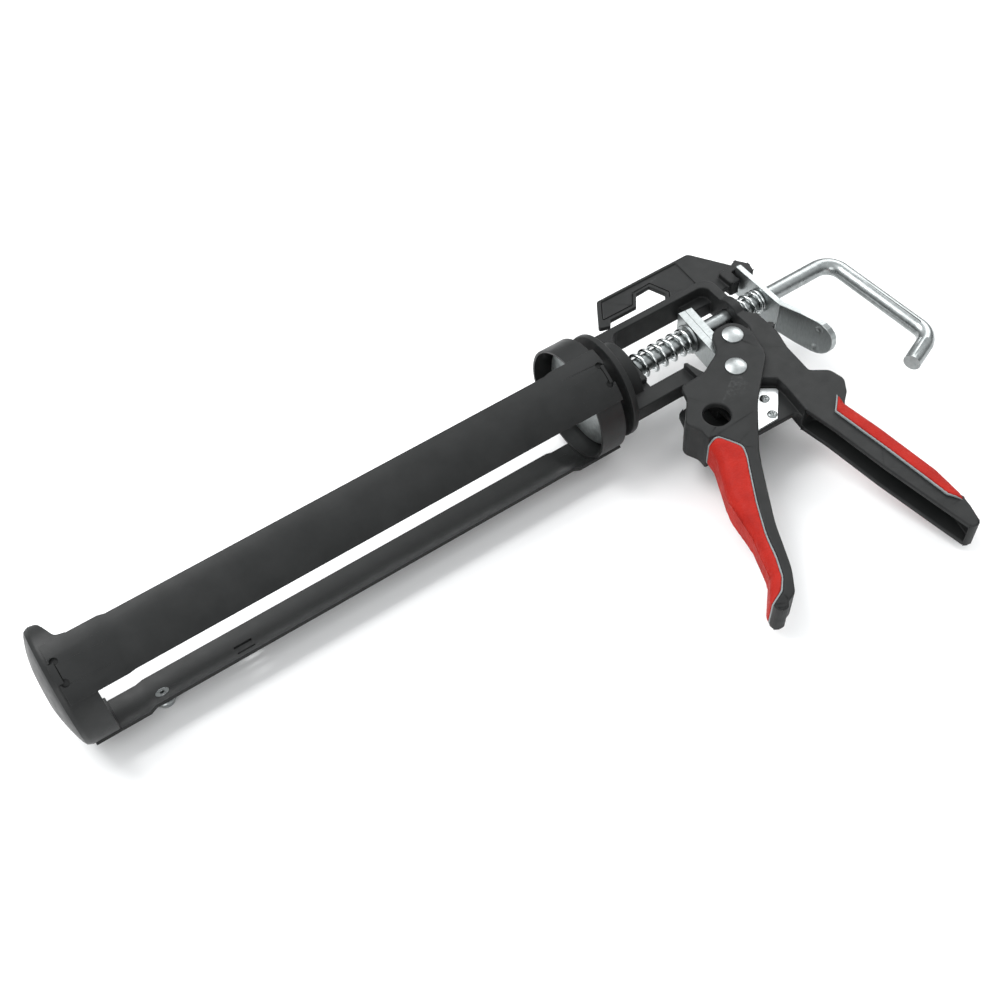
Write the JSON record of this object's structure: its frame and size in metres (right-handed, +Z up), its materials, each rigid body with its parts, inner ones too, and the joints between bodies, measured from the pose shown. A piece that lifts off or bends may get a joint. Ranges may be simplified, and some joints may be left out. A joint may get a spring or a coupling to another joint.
{
  "type": "caulking gun",
  "caption": "Open-cradle caulking gun: rotating two-rail barrel, push rod with hooked pull, sprung grip plates, release lever, trigger and handle with soft red pads.",
  "frame": {"origin": "on the barrel axis, in the middle of the front cap's cartridge seat", "axes": "+X along the barrel axis to the rear of the gun, +Y towards the top of the gun (the loading side, tipped up a little), +Z up with the gun lying on its right side"},
  "size_m": [0.4044, 0.1927, 0.0578],
  "materials": {
    "black_casting": "satin black powder coat on die-cast alloy",
    "black_sheet": "semi-matt black powder coat on pressed steel",
    "dark_zinc": "turned steel",
    "grey_steel": "grey plated pressed steel",
    "dark_plastic": "dark friction washer",
    "zinc": "bright zinc plate",
    "bright_steel": "bright zinc plate, blanked edges",
    "spring_steel": "bright drawn wire",
    "blade_steel": "ground blade",
    "red_grip": "soft red moulded grip, fine texture",
    "grey_trim": "mid-grey moulded edge"
  },
  "bodies": {
    "frame": {"body_frame": "black_casting", "swivel_bush": "dark_zinc", "retainer_disc": "grey_steel", "friction_washer": "dark_plastic", "trigger_pivot_rivet": "zinc", "cutter_blade": "blade_steel", "cutter_screws": "zinc", "handle_pad": "red_grip", "handle_pad_border": "grey_trim", "handle_screw": "zinc", "drive_spring": "spring_steel", "release_spring": "spring_steel"},
    "barrel": {"barrel_cup": "black_sheet", "left_rail": "black_sheet", "right_rail": "black_sheet", "front_cap": "black_sheet", "pierce_pin_rivet": "zinc", "pierce_pin_sleeve": "zinc"},
    "pierce_pin": {"pierce_pin": "zinc"},
    "plunger": {"plunger_disc": "grey_steel", "plunger_washer": "zinc", "plunger_nut": "zinc"},
    "rod": {"push_rod": "zinc"},
    "trigger": {"trigger": "black_casting", "trigger_pad": "red_grip", "trigger_pad_border": "grey_trim", "drive_pin": "zinc", "drive_roller": "dark_zinc"},
    "grip": {"grip_plate_front": "bright_steel", "grip_plate_rear": "bright_steel", "spring_washer": "zinc"},
    "lever": {"release_lever": "bright_steel"}
  },
  "joints": [
    {"name": "barrel_spin", "type": "hinge", "parent": "frame", "child": "barrel", "pos_m": [0, 0, 0], "axis": [1, 0, 0], "continuous": true},
    {"name": "pierce_pin_swing", "type": "hinge", "parent": "barrel", "child": "pierce_pin", "pos_m": [0.0256, -0.01039, -0.02707], "axis": [0, -0.3584, -0.9336], "range_deg": [0, 180]},
    {"name": "rod_slide", "type": "slide", "parent": "frame", "child": "plunger", "axis": [1, 0, 0], "range_m": [0, 0.234]},
    {"name": "rod_twist", "type": "hinge", "parent": "plunger", "child": "rod", "pos_m": [0, 0, 0], "axis": [1, 0, 0], "continuous": true},
    {"name": "trigger_pull", "type": "hinge", "parent": "frame", "child": "trigger", "pos_m": [0.3, -0.03173, -0.00418], "axis": [0, -0.1305, 0.9914], "range_deg": [0, 30], "stiffness_Nm_per_rad": 1, "springref_deg": -17.19},
    {"name": "grip_slide", "type": "slide", "parent": "frame", "child": "grip", "axis": [-1, 0, 0], "range_m": [0, 0.0095], "deforming": ["drive_spring"]},
    {"name": "lever_press", "type": "hinge", "parent": "frame", "child": "lever", "pos_m": [0.3426, 0.01646, 0.00217], "axis": [0, 0.1305, -0.9914], "range_deg": [0, 8], "stiffness_Nm_per_rad": 0.6, "springref_deg": -11.46, "deforming": ["release_spring"]}
  ],
  "couplings": [
    {"joint": "grip_slide", "follows": "trigger_pull", "m_per_rad": 0.0176}
  ]
}
